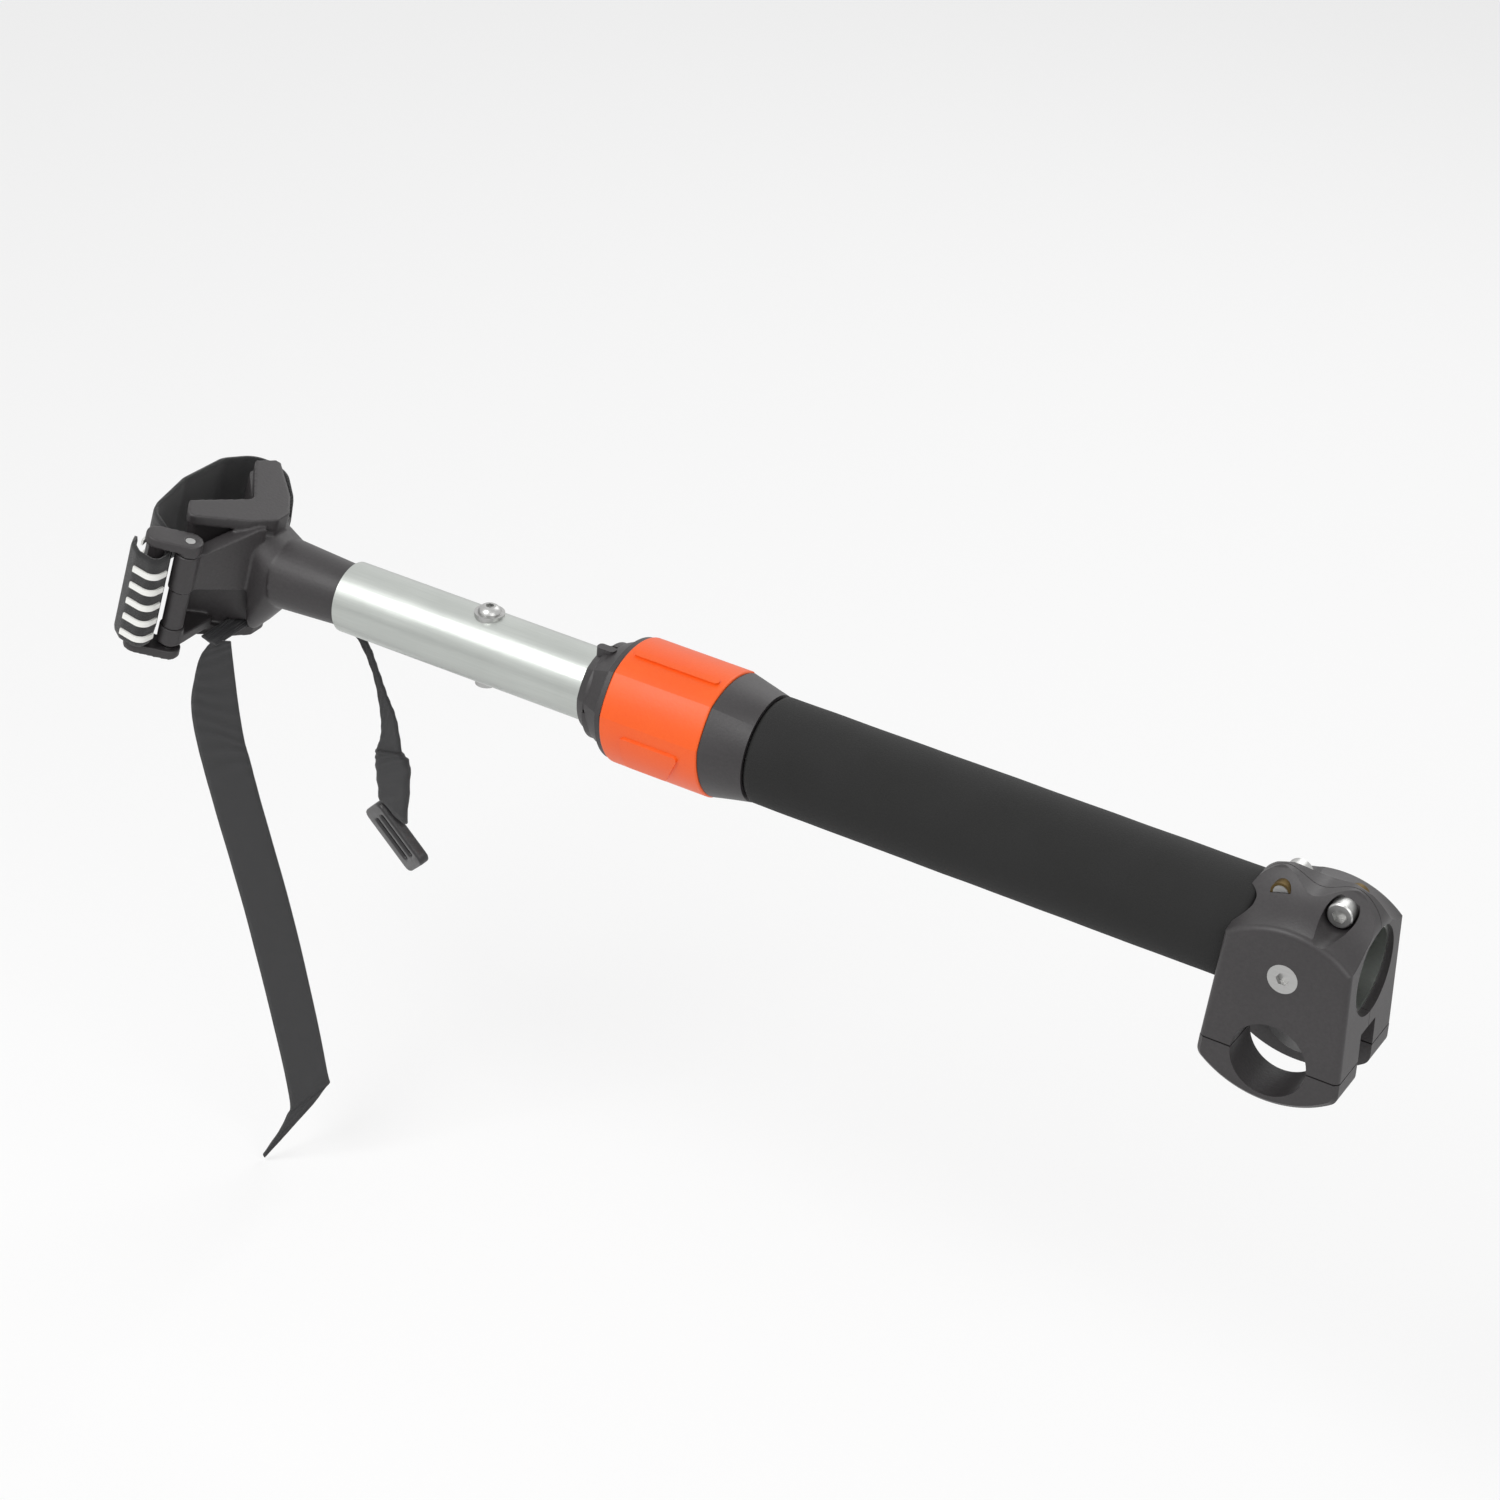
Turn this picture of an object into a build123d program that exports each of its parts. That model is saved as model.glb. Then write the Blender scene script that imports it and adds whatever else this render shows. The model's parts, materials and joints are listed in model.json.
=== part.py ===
from build123d import *
import math
import os

# Telescopic drawbar of a bicycle trailer. A two-half clamp grips the trailer's cross tube, a
# twist-locked telescopic pole runs from it, and a strap-on head at the far end grips a seat post.
# Frame: the origin is the middle of the cross-tube bore. +Y runs along the cross tube, +Z is up
# and the pole runs along -X at the height pole_z.

os.makedirs("parts", exist_ok=True)

# ---- fits ---------------------------------------------------------------------------------------
run_gap = 0.05  # radial clearance of a running fit
seat_gap = 0.03  # radial clearance of a piece held still in its seat
soft_gap = 0.3  # clearance round foam, webbing and silicone
joint_gap = 0.3  # parting gap between moulded pieces

# ---- cross-tube clamp ---------------------------------------------------------------------------
cross_tube_r = 15.0
clamp_width = 52.0
pole_z = 36.0
jaw_half_length = 27.8
shoulder_half_length = 24.6
shoulder_z = 51.0
hump_x = 13.5
hump_z = 66.8
dip_z = 62.6
scoop_axis_z = 19.0
apron_top_z = 55.9
jaw_wall = 3.6
jaw_side_z = -8.0
jaw_slot_width = 14.0
jaw_slot_top = 12.0
edge_round = 2.6
tube_end_recess = 3.0
foam_socket_depth = 4.5

# ---- telescopic tubes ---------------------------------------------------------------------------
outer_tube_r = 17.5
outer_tube_wall = 1.5
inner_tube_r = 15.0
inner_tube_wall = 1.5
foam_r = 22.0
foam_length = 208.0
inner_tube_length = 336.0
visible_inner_length = 119.0

# ---- twist lock ---------------------------------------------------------------------------------
ferrule_length = 17.5
collar_length = 44.0
collar_corner_r = 26.5
collar_broad_r = 25.3
collar_narrow_r = 25.9
broad_half_angle = 40.0
collar_bore_r = 22.6
collar_flange = 3.0
grip_rib_height = 1.0
cap_length = 12.5
cap_rim = 2.7
cap_end_r = 17.0
sleeve_r = 20.0
bush_length = 34.0
guide_plug_length = 5.0
guide_plug_spigot = 12.0
lock_ring_length = 20.0

# ---- seat-post head: u runs towards the pole, v along +Y, levels along the leaning post ----------
post_lean = 12.5
saddle_reach = 56.4  # from the end of the inner tube to the seat line of the saddle
saddle_depth = 15.5
saddle_back_half = 4.0
saddle_shoulder_u = 8.5
saddle_shoulder_v = 14.0
saddle_tip_u = -16.5
saddle_tip_v = 22.5
saddle_half_width = 31.5
plate_thickness = 5.0
top_plate_level = 24.6
bottom_plate_level = -30.6
web_setback = 6.0
neck_tube_r = 13.0
neck_r = 14.9
neck_length = 32.5
flare_length = 12.0
flare_width = 25.0
flare_bottom_level = -28.0
flare_top_level = 22.0
neck_spigot = 74.0
neck_screw_setback = 66.0
hinge_u = -2.3
hinge_v = -38.2
hinge_pin_r = 2.0
knuckle_r = 5.2
wing_root_u = 9.5
wing_root_v = -11.0
wing_thickness = 7.0
wing_bottom_level = 0.5
wing_root_bottom_level = -4.5
wing_hinge_level = 18.4
wing_root_level = 26.3
lower_knuckle_level = -18.4
prong_bottom_level = -26.6
bar_u = -13.2
bar_v = -44.6
bar_r = 3.4
frame_end_r = 5.4
frame_bottom_level = -33.2
frame_bottom_arm = 4.2
frame_top_level = 20.4
frame_top_arm = 4.2
strap_slot_u = 10.5
strap_fold_width = 8.0
strap_level = -24.3

# ---- hook-and-loop band and safety strap --------------------------------------------------------
band_bottom_level = -22.9
band_top_level = 19.6
band_thickness = 2.0
fold_bottom_level = -27.4
fold_top_level = 17.2
top_rib_level = 9.1
rib_count = 5
rib_pitch = 8.0
rib_width = 2.6
rib_height = 0.9
webbing_width = 20.0
webbing_thickness = 1.6
strap_turn = 36.0
strap_reach = 7.2
strap_y = -26.2
strap_front_v = -28.2
short_strap_y = 22.0
buckle_width = 33.0
buckle_length = 25.0
buckle_thickness = 5.0
buckle_bar = 4.2
buckle_slot = 4.4
buckle_roll = 42.0
buckle_swing = 61.0
buckle_reach = 65.1
buckle_z = -77.6
buckle_shift = 8.0

# ---- fasteners ----------------------------------------------------------------------------------
m5_r = 2.5
m6_r = 3.0
pinch_x = 11.8
pinch_z = pole_z + 23.6
pinch_wall = 4.4
pinch_head_r = 5.0
pinch_head_height = 6.0
pinch_insert_r = 4.0
pinch_insert_length = 9.0
flat_screw_head_r = 5.9
flat_screw_length = 11.0
jaw_bolt_x = 20.9
jaw_bolt_length = 17.0
jaw_bolt_head_r = 4.25
jaw_bolt_head_height = 5.0
jaw_bolt_seat_z = -5.0
neck_screw_head_r = 4.75
neck_screw_head_height = 2.75
washer_r = 6.2
washer_thickness = 1.0
washer_skirt = 1.4
neck_nut_r = 4.6

# ---- derived places -----------------------------------------------------------------------------
half_width = clamp_width / 2
jaw_slot_half = jaw_slot_width / 2
jaw_thickness = half_width - jaw_slot_half
outer_bore_r = outer_tube_r - outer_tube_wall
inner_bore_r = inner_tube_r - inner_tube_wall
foam_end_x = -shoulder_half_length + foam_socket_depth
foam_start_x = foam_end_x - foam_length
ferrule_start_x = foam_start_x - joint_gap - ferrule_length
collar_end_x = ferrule_start_x - joint_gap
collar_start_x = collar_end_x - collar_length
cap_rim_x = collar_start_x - joint_gap
cap_cone_x = cap_rim_x - cap_rim
cap_end_x = cap_cone_x - cap_length
outer_tube_start_x = ferrule_start_x - 4.0
outer_tube_end_x = shoulder_half_length - tube_end_recess + 1.5
inner_tube_start_x = cap_end_x - visible_inner_length
inner_tube_end_x = inner_tube_start_x + inner_tube_length
neck_screw_x = inner_tube_start_x + neck_screw_setback
saddle_x = inner_tube_start_x - saddle_reach
strap_x = saddle_x + strap_reach
buckle_x = saddle_x + buckle_reach
bottom_plate_top = bottom_plate_level + plate_thickness
frame_top = frame_top_level + frame_top_arm
band_height = band_top_level - band_bottom_level

# The collar's section has three broad faces and three narrow ones between them.
corner_angles = [
    centre + side * broad_half_angle for centre in (0.0, 120.0, 240.0) for side in (-1, 1)
]


def at_angle(radius, angle):
    """Point of the pole's cross-section: angle 0 is up, 90 degrees faces -Y."""
    return (-radius * math.sin(math.radians(angle)), radius * math.cos(math.radians(angle)))


def pole_plane(x):
    """Plane across the pole at x, with its local x along +Y and its local y along +Z."""
    return Plane(origin=(x, 0, pole_z), x_dir=(0, 1, 0), z_dir=(1, 0, 0))


def grip_section(corner_r, broad_r, narrow_r):
    """Closed outline of six arcs that meet at the six corners; used inside a BuildLine."""
    for index, angle in enumerate(corner_angles):
        following = corner_angles[(index + 1) % 6] + (360.0 if index == 5 else 0.0)
        middle_r = broad_r if index % 2 == 0 else narrow_r
        ThreePointArc(
            at_angle(corner_r, angle),
            at_angle(middle_r, (angle + following) / 2),
            at_angle(corner_r, following),
        )


def pole_ring(label, start_x, length, outer_r, inner_r):
    """Plain ring round the pole's axis, written as its own piece."""
    with BuildPart() as ring:
        with BuildSketch(pole_plane(start_x)):
            Circle(outer_r)
            Circle(inner_r, mode=Mode.SUBTRACT)
        extrude(amount=length)
    finish(ring.part, label)
    return ring


def finish(shape, label):
    """Name a finished piece and write it."""
    shape.label = label
    export_step(shape, f"parts/{label}.step")


def socket_screw(head_r, head_height, shank_r, length, socket_r):
    """Socket-head cap screw along Z: the head's seat is at z 0 and the shank points down."""
    with BuildPart() as screw:
        with BuildSketch():
            Circle(head_r)
        extrude(amount=head_height)
        chamfer(screw.faces().sort_by(Axis.Z)[-1].edges(), 0.5)
        with BuildSketch(Plane.XY.offset(head_height)):
            RegularPolygon(socket_r, 6)
        extrude(amount=-head_height / 2, mode=Mode.SUBTRACT)
        with BuildSketch():
            Circle(shank_r)
        extrude(amount=-length)
    return screw.part


# ==== clamp halves ===============================================================================
# Both halves are the same moulding, turned half a turn about Z.
with BuildPart() as clamp_half:
    with BuildSketch(Plane.XZ.offset(joint_gap / 2)):
        with BuildLine():
            Line((-jaw_half_length, joint_gap), (-shoulder_half_length, shoulder_z))
            Spline(
                (-shoulder_half_length, shoulder_z),
                (-hump_x - 8.0, hump_z - 5.0),
                (-hump_x, hump_z),
                (0, dip_z),
                (hump_x, hump_z),
                (hump_x + 8.0, hump_z - 5.0),
                (shoulder_half_length, shoulder_z),
            )
            Line((shoulder_half_length, shoulder_z), (jaw_half_length, joint_gap))
            Line((jaw_half_length, joint_gap), (-jaw_half_length, joint_gap))
        make_face()
    extrude(amount=half_width - joint_gap / 2)
    # the scooped top: a concave profile turned about an axis along Y below the pole
    with BuildSketch(Plane.YZ):
        with BuildLine():
            Line((-half_width - 1, scoop_axis_z), (-half_width - 1, apron_top_z - 0.2))
            Line((-half_width - 1, apron_top_z - 0.2), (-half_width, apron_top_z))
            ThreePointArc(
                (-half_width, apron_top_z),
                (-half_width / 2, apron_top_z + 3.4),
                (-2.5, hump_z + 1.5),
            )
            Line((-2.5, hump_z + 1.5), (1, hump_z + 3.0))
            Line((1, hump_z + 3.0), (1, scoop_axis_z))
            Line((1, scoop_axis_z), (-half_width - 1, scoop_axis_z))
        make_face()
    revolve(
        axis=Axis((0, 0, scoop_axis_z), (0, 1, 0)),
        mode=Mode.INTERSECT,
    )
    front_edges = clamp_half.faces().sort_by(Axis.Y)[0].edges()
    fillet(front_edges.filter_by(lambda edge: edge.center().Z > joint_gap + 1), edge_round)
    # pole bore
    with BuildSketch(pole_plane(-jaw_half_length - 1)):
        Circle(outer_tube_r + seat_gap)
    extrude(amount=2 * jaw_half_length + 2, mode=Mode.SUBTRACT)
    # cross-tube bore and the slot between the two jaws
    with BuildSketch(Plane.XZ):
        Circle(cross_tube_r)
    extrude(amount=half_width + 1, mode=Mode.SUBTRACT)
    with BuildSketch(Plane.XZ):
        with Locations((0, jaw_slot_top / 2)):
            Rectangle(2 * jaw_half_length + 2, jaw_slot_top)
    extrude(amount=jaw_slot_half, mode=Mode.SUBTRACT)
    # pinch bolt in its pocket, and the insert that takes the other half's bolt
    with BuildSketch(Plane.XZ):
        with Locations((pinch_x, pinch_z)):
            Circle(m6_r + 0.2)
    extrude(amount=half_width, mode=Mode.SUBTRACT)
    with BuildSketch(Plane.XZ.offset(pinch_wall)):
        with Locations((pinch_x, pinch_z)):
            Circle(pinch_head_r + 1.0)
    extrude(amount=half_width, mode=Mode.SUBTRACT)
    with BuildSketch(Plane.XZ):
        with Locations((-pinch_x, pinch_z)):
            Circle(pinch_insert_r + seat_gap)
    extrude(amount=pinch_insert_length + joint_gap, mode=Mode.SUBTRACT)
    # countersunk screw that pins the outer tube
    with Locations(Plane(origin=(0, -half_width, pole_z), x_dir=(1, 0, 0), z_dir=(0, -1, 0))):
        CounterSinkHole(
            radius=m6_r + seat_gap,
            counter_sink_radius=flat_screw_head_r + seat_gap,
            depth=half_width,
            counter_sink_angle=90,
        )
    # tapped holes of the jaw cap's bolts
    with BuildSketch(Plane.XY):
        with Locations(
            (-jaw_bolt_x, -jaw_slot_half - jaw_thickness / 2),
            (jaw_bolt_x, -jaw_slot_half - jaw_thickness / 2),
        ):
            Circle(m5_r + seat_gap)
    extrude(amount=jaw_bolt_length + jaw_bolt_seat_z + 1, mode=Mode.SUBTRACT)

# the end of the foam grip is held in a socket on the pole side of both halves
with BuildPart() as clamp_half_front:
    add(clamp_half.part)
    with BuildSketch(pole_plane(-jaw_half_length - 1)):
        Circle(foam_r + soft_gap)
    extrude(amount=foam_end_x + soft_gap + jaw_half_length + 1, mode=Mode.SUBTRACT)
finish(clamp_half_front.part, "clamp_half_front")

with BuildPart() as clamp_half_rear:
    add(clamp_half.part.rotate(Axis.Z, 180))
    with BuildSketch(pole_plane(-jaw_half_length - 1)):
        Circle(foam_r + soft_gap)
    extrude(amount=foam_end_x + soft_gap + jaw_half_length + 1, mode=Mode.SUBTRACT)
finish(clamp_half_rear.part, "clamp_half_rear")

# ==== jaw caps ===================================================================================
with BuildPart() as jaw_cap:
    with BuildSketch(Plane.XZ.offset(jaw_slot_half)):
        with BuildLine():
            bottom_z = -cross_tube_r - jaw_wall
            Line((-jaw_half_length, -joint_gap), (-jaw_half_length - 0.3, jaw_side_z))
            ThreePointArc(
                (-jaw_half_length - 0.3, jaw_side_z),
                (0, bottom_z),
                (jaw_half_length + 0.3, jaw_side_z),
            )
            Line((jaw_half_length + 0.3, jaw_side_z), (jaw_half_length, -joint_gap))
            Line((jaw_half_length, -joint_gap), (-jaw_half_length, -joint_gap))
        make_face()
    extrude(amount=jaw_thickness)
    fillet(
        jaw_cap.edges().filter_by(Axis.Y).filter_by(lambda edge: edge.center().Z < -2), 5.0
    )
    cap_front_edges = jaw_cap.faces().sort_by(Axis.Y)[0].edges()
    chamfer(
        cap_front_edges.filter_by(lambda edge: edge.center().Z < -joint_gap - 0.5), edge_round - 0.8
    )
    with BuildSketch(Plane.XZ):
        Circle(cross_tube_r)
    extrude(amount=half_width + 1, mode=Mode.SUBTRACT)
    with BuildSketch(Plane.XY):
        with Locations(
            (-jaw_bolt_x, -jaw_slot_half - jaw_thickness / 2),
            (jaw_bolt_x, -jaw_slot_half - jaw_thickness / 2),
        ):
            Circle(m5_r + 0.2)
    extrude(amount=-30, mode=Mode.SUBTRACT)
    with BuildSketch(Plane.XY.offset(jaw_bolt_seat_z)):
        with Locations(
            (-jaw_bolt_x, -jaw_slot_half - jaw_thickness / 2),
            (jaw_bolt_x, -jaw_slot_half - jaw_thickness / 2),
        ):
            Circle(jaw_bolt_head_r + 0.3)
    extrude(amount=-30, mode=Mode.SUBTRACT)
finish(jaw_cap.part, "jaw_cap_front")
finish(jaw_cap.part.rotate(Axis.Z, 180), "jaw_cap_rear")

# ==== clamp fasteners ============================================================================
jaw_bolt = socket_screw(jaw_bolt_head_r, jaw_bolt_head_height, m5_r, jaw_bolt_length, 2.3)
jaw_bolts = Compound(
    children=[
        Pos(x, y, jaw_bolt_seat_z) * Rot(180, 0, 0) * jaw_bolt
        for x in (-jaw_bolt_x, jaw_bolt_x)
        for y in (-jaw_slot_half - jaw_thickness / 2, jaw_slot_half + jaw_thickness / 2)
    ]
)
finish(jaw_bolts, "jaw_cap_bolts")

pinch_length = pinch_wall + pinch_insert_length
pinch_bolt = socket_screw(pinch_head_r, pinch_head_height, m6_r, pinch_length, 2.9)
front_pinch_bolt = Pos(pinch_x, -pinch_wall, pinch_z) * Rot(90, 0, 0) * pinch_bolt
pinch_bolts = Compound(children=[front_pinch_bolt, front_pinch_bolt.rotate(Axis.Z, 180)])
finish(pinch_bolts, "pinch_bolts")

with BuildPart() as insert:
    with BuildSketch(Plane.XZ.offset(joint_gap / 2 + 0.2)):
        with Locations((-pinch_x, pinch_z)):
            Circle(pinch_insert_r)
            Circle(m6_r + seat_gap, mode=Mode.SUBTRACT)
    extrude(amount=pinch_insert_length - 0.5)
pinch_inserts = Compound(children=[insert.part, insert.part.rotate(Axis.Z, 180)])
finish(pinch_inserts, "pinch_bolt_inserts")

with BuildPart() as flat_screw:
    with BuildSketch(Plane.XZ):
        with BuildLine():
            Polyline(
                (0, 0),
                (flat_screw_head_r, 0),
                (m6_r, m6_r - flat_screw_head_r),
                (m6_r, -flat_screw_length),
                (0, -flat_screw_length),
                close=True,
            )
        make_face()
    revolve(axis=Axis.Z)
    with BuildSketch(Plane.XY):
        RegularPolygon(2.6, 6)
        with PolarLocations(1.9, 6):
            Circle(0.6)
    extrude(amount=-2.2, mode=Mode.SUBTRACT)
front_flat_screw = Pos(0, -half_width, pole_z) * Rot(90, 0, 0) * flat_screw.part
flat_screws = Compound(children=[front_flat_screw, front_flat_screw.rotate(Axis.Z, 180)])
finish(flat_screws, "tube_fixing_screws")

# ==== pole =======================================================================================
with BuildPart() as outer_tube:
    with BuildSketch(pole_plane(outer_tube_start_x)):
        Circle(outer_tube_r)
        Circle(outer_bore_r, mode=Mode.SUBTRACT)
    extrude(amount=outer_tube_end_x - outer_tube_start_x)
    with BuildSketch(Plane.XZ.offset(-half_width)):
        with Locations((0, pole_z)):
            Circle(m6_r + seat_gap)
    extrude(amount=clamp_width, mode=Mode.SUBTRACT)
finish(outer_tube.part, "outer_tube")

with BuildPart() as foam_grip:
    with BuildSketch(pole_plane(foam_start_x)):
        Circle(foam_r)
        Circle(outer_tube_r + soft_gap, mode=Mode.SUBTRACT)
    extrude(amount=foam_length)
    fillet(foam_grip.edges().filter_by(GeomType.CIRCLE).group_by(SortBy.RADIUS)[-1], 1.0)
finish(foam_grip.part, "foam_grip")

with BuildPart() as inner_tube:
    with BuildSketch(pole_plane(inner_tube_start_x)):
        Circle(inner_tube_r)
        Circle(inner_bore_r, mode=Mode.SUBTRACT)
    extrude(amount=inner_tube_length)
    with BuildSketch(Plane.XY):
        with Locations((neck_screw_x, 0)):
            Circle(m5_r + 0.2)
    extrude(amount=pole_z + 2 * inner_tube_r, mode=Mode.SUBTRACT)
finish(inner_tube.part, "inner_tube")

with BuildPart() as guide_plug:
    with BuildSketch(pole_plane(inner_tube_end_x)):
        Circle(outer_bore_r - run_gap)
    extrude(amount=guide_plug_length)
    with BuildSketch(pole_plane(inner_tube_end_x)):
        Circle(inner_bore_r - seat_gap)
    extrude(amount=-guide_plug_spigot)
    with BuildSketch(pole_plane(inner_tube_end_x + guide_plug_length)):
        Circle(inner_bore_r - 3.0)
    extrude(amount=-guide_plug_length - guide_plug_spigot, mode=Mode.SUBTRACT)
finish(guide_plug.part, "tube_guide_plug")

# ==== twist lock =================================================================================
sleeve_start_x = cap_end_x + 4.0
sleeve_end_x = ferrule_start_x + ferrule_length - 2.5
bush_bore_r = inner_tube_r + run_gap
bush_r = bush_bore_r + 1.4
with BuildPart() as lock_sleeve:
    with BuildSketch(pole_plane(sleeve_start_x)):
        Circle(sleeve_r)
        Circle(bush_r + seat_gap, mode=Mode.SUBTRACT)
    extrude(amount=sleeve_end_x - sleeve_start_x)
    with BuildSketch(pole_plane(outer_tube_start_x)):
        Circle(outer_tube_r + seat_gap)
    extrude(amount=sleeve_end_x - outer_tube_start_x, mode=Mode.SUBTRACT)
    # four slits let the collar squeeze the sleeve onto the inner tube
    with BuildSketch(pole_plane(sleeve_start_x)):
        Rectangle(2 * sleeve_r + 2, 1.6)
        Rectangle(1.6, 2 * sleeve_r + 2)
    extrude(amount=bush_length - 8.0, mode=Mode.SUBTRACT)
finish(lock_sleeve.part, "lock_sleeve")

pole_ring("guide_bush", sleeve_start_x, bush_length, bush_r, bush_bore_r)

with BuildPart() as rear_ferrule:
    with BuildSketch(pole_plane(ferrule_start_x)):
        with BuildLine():
            grip_section(collar_corner_r - 0.5, collar_broad_r - 0.9, collar_narrow_r - 0.6)
        make_face()
    with BuildSketch(pole_plane(ferrule_start_x + ferrule_length)):
        with BuildLine():
            grip_section(foam_r, foam_r, foam_r)
        make_face()
    loft()
    with BuildSketch(pole_plane(ferrule_start_x)):
        Circle(sleeve_r + seat_gap)
    extrude(amount=ferrule_length, mode=Mode.SUBTRACT)
finish(rear_ferrule.part, "rear_ferrule")

# raised grip ribs and one raised panel follow the collar's own outline
rib_length = collar_length - 6.0
collar_mid_x = (collar_start_x + collar_end_x) / 2


def collar_relief(label_angle, outline):
    """Prism of the given outline, laid over the collar at an angle and cut to its section."""
    direction = at_angle(1.0, label_angle)
    plane = Plane(
        origin=(collar_mid_x, 0, pole_z), x_dir=(1, 0, 0), z_dir=(0, direction[0], direction[1])
    )
    with BuildPart() as relief:
        with BuildSketch(plane.offset(collar_bore_r + 0.4)) as shape:
            with BuildLine():
                Polyline(*outline, close=True)
            make_face()
            fillet(shape.vertices(), 1.5)
        extrude(amount=collar_corner_r)
        with BuildSketch(pole_plane(collar_start_x)):
            with BuildLine():
                grip_section(
                    collar_corner_r + grip_rib_height,
                    collar_broad_r + grip_rib_height,
                    collar_narrow_r + grip_rib_height,
                )
            make_face()
        extrude(amount=collar_length, mode=Mode.INTERSECT)
    return relief.part


half_rib = rib_length / 2
rib_outline = [(-half_rib, -1.6), (half_rib, -1.6), (half_rib, 1.6), (-half_rib, 1.6)]
panel_outline = [(-12.0, 10.0), (14.5, 10.0), (6.0, -8.5), (-12.0, -8.5)]
with BuildPart() as twist_collar:
    with BuildSketch(pole_plane(collar_start_x)):
        with BuildLine():
            grip_section(collar_corner_r, collar_broad_r, collar_narrow_r)
        make_face()
    extrude(amount=collar_length)
    fillet(
        twist_collar.faces().sort_by(Axis.X)[0].edges()
        + twist_collar.faces().sort_by(Axis.X)[-1].edges(),
        0.8,
    )
    for angle in (14.0, 254.0):
        add(collar_relief(angle, rib_outline))
    add(collar_relief(115.0, panel_outline))
    with BuildSketch(pole_plane(collar_start_x)):
        Circle(collar_bore_r)
    extrude(amount=collar_length - collar_flange, mode=Mode.SUBTRACT)
    with BuildSketch(pole_plane(collar_start_x)):
        Circle(sleeve_r + run_gap)
    extrude(amount=collar_length, mode=Mode.SUBTRACT)
finish(twist_collar.part, "twist_collar")

pole_ring(
    "lock_ring",
    collar_mid_x - lock_ring_length / 2,
    lock_ring_length,
    collar_bore_r - seat_gap,
    sleeve_r + run_gap,
)

with BuildPart() as front_cap:
    with BuildSketch(pole_plane(cap_cone_x)):
        with BuildLine():
            grip_section(collar_corner_r - 0.7, collar_broad_r - 1.0, collar_narrow_r - 0.9)
        make_face()
    extrude(amount=cap_rim)
    fillet(front_cap.edges().group_by(Axis.X)[0], 0.7)
    with BuildSketch(pole_plane(cap_cone_x)):
        with BuildLine():
            grip_section(collar_corner_r - 1.8, collar_broad_r - 2.6, collar_narrow_r - 2.4)
        make_face()
    with BuildSketch(pole_plane(cap_end_x)):
        with BuildLine():
            grip_section(cap_end_r + 0.6, cap_end_r, cap_end_r + 0.2)
        make_face()
    loft()
    # moulded index lug at the top of the narrow end
    with BuildSketch(Plane(origin=(cap_end_x + 0.5, 0, pole_z), x_dir=(1, 0, 0), z_dir=(0, 0, 1))):
        with Locations((3.5, -3.5)):
            RectangleRounded(8.0, 4.0, 1.6)
    extrude(amount=cap_end_r + 4.0)
    with BuildSketch(pole_plane(cap_rim_x)):
        Circle(sleeve_r + seat_gap)
    extrude(amount=sleeve_start_x - cap_rim_x, mode=Mode.SUBTRACT)
    with BuildSketch(pole_plane(cap_rim_x)):
        Circle(inner_tube_r + 2 * run_gap)
    extrude(amount=cap_end_x - cap_rim_x - 1, mode=Mode.SUBTRACT)
finish(front_cap.part, "front_cap")

# ==== seat-post head ===========================================================================
lean_sin = math.sin(math.radians(post_lean))
lean_cos = math.cos(math.radians(post_lean))


def head_plane(level):
    """Plane across the seat post at a level along it, with local axes u and v."""
    return Plane(
        origin=(saddle_x + level * lean_sin, 0, pole_z + level * lean_cos),
        x_dir=(lean_cos, 0, -lean_sin),
        z_dir=(lean_sin, 0, lean_cos),
    )


def upright_plane(start, end):
    """Plane that stands along the post from start towards end, both (u, v)."""
    along = (end[0] - start[0], end[1] - start[1], 0)
    local = Plane(origin=(*start, 0), x_dir=along, z_dir=(along[1], -along[0], 0))
    return Plane(head_plane(0).location * local.location)


def saddle_outline(setback):
    """Chevron outline of the seat-post saddle, inset by setback on its outer side."""
    half = [
        (saddle_tip_u, saddle_tip_v - setback * 0.4),
        (saddle_tip_u + 6.5, saddle_half_width - setback),
        (saddle_shoulder_u, saddle_shoulder_v - setback * 0.6),
        (saddle_depth, saddle_back_half),
    ]
    Polyline((0, 0), *half, *[(u, -v) for u, v in reversed(half)], close=True)


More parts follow.
